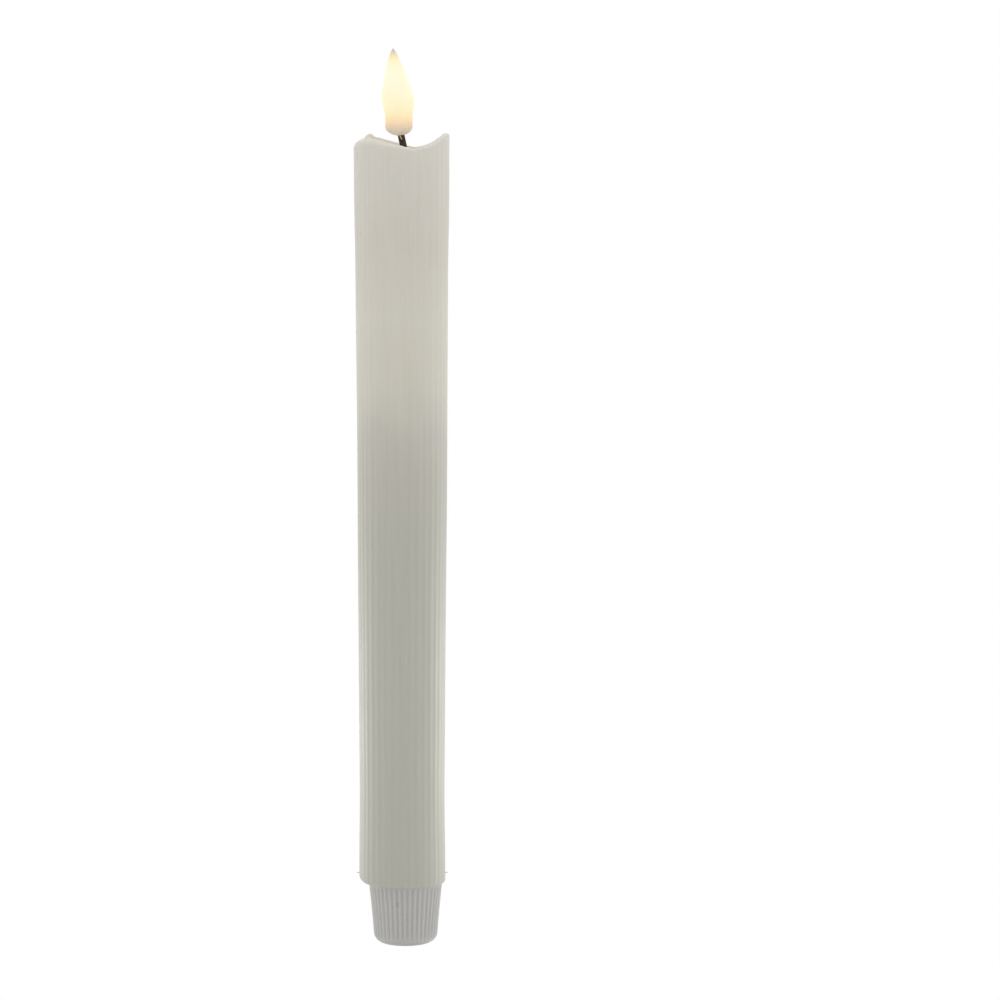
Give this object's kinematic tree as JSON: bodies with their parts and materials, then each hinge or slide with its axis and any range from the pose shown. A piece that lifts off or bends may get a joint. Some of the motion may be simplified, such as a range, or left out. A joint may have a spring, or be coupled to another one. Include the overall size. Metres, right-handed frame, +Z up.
{
  "type": "flameless led candle",
  "caption": "Taper LED candle: wax sleeve with a wavy melted rim, moulded flame on a black wick, and a fluted screw-on base cap that fits a candlestick.",
  "frame": {"origin": "middle of the base cap's underside, on the axis of the cap, the thread and the battery tube", "axes": "+Z up along the candle towards the flame, +X to the right as the candle is seen with its wick leaning left, +Y away from the viewer"},
  "size_m": [0.0252, 0.0252, 0.238],
  "materials": {
    "cap_plastic": "satin",
    "wax": "satin",
    "tube_plastic": "satin",
    "flame_plastic": "satin",
    "wick_black": "matte",
    "led_epoxy": "gloss",
    "steel": "satin",
    "contact_brass": "satin",
    "board_green": "satin",
    "chip_black": "matte",
    "jacket_film": "gloss",
    "capacitor_sleeve": "gloss",
    "lead_red": "satin",
    "lead_black": "satin"
  },
  "bodies": {
    "base": {"base_cap": "cap_plastic", "thread_neck": "cap_plastic", "ring_contact": "contact_brass", "negative_plate": "steel", "battery_spring": "steel", "switch_board": "board_green", "switch_housing": "steel", "switch_terminals": "contact_brass", "board_screws": "steel", "ring_lead": "lead_black"},
    "switch": {"switch_knob": "cap_plastic"},
    "cells": {"cell_1_can": "steel", "cell_1_jacket": "jacket_film", "cell_2_can": "steel", "cell_2_jacket": "jacket_film"},
    "candle": {"wax_sleeve": "wax", "battery_tube": "tube_plastic", "return_strip": "contact_brass", "contact_carrier": "tube_plastic", "positive_contact": "contact_brass", "driver_board": "board_green", "flicker_chip": "chip_black", "timer_crystal": "steel", "resistors": "chip_black", "capacitor": "capacitor_sleeve", "positive_lead": "lead_red", "negative_lead": "lead_black", "tube_plug": "tube_plastic", "wick_sleeve": "wick_black", "led_legs": "steel", "led": "led_epoxy", "flame_shell": "flame_plastic"}
  },
  "joints": [
    {"name": "switch_slide", "type": "slide", "parent": "base", "child": "switch", "axis": [1, 0, 0], "range_m": [0, 0.004]},
    {"name": "cell_rise", "type": "slide", "parent": "base", "child": "cells", "axis": [0, 0, 1], "range_m": [0, 0.0045], "deforming": ["battery_spring"]},
    {"name": "body_turn", "type": "hinge", "parent": "cells", "child": "candle", "pos_m": [0, 0, 0.017], "axis": [0, 0, 1], "range_deg": [0, 811]}
  ],
  "couplings": [
    {"joint": "body_turn", "follows": "cell_rise", "rad_per_m": 3141.6}
  ]
}
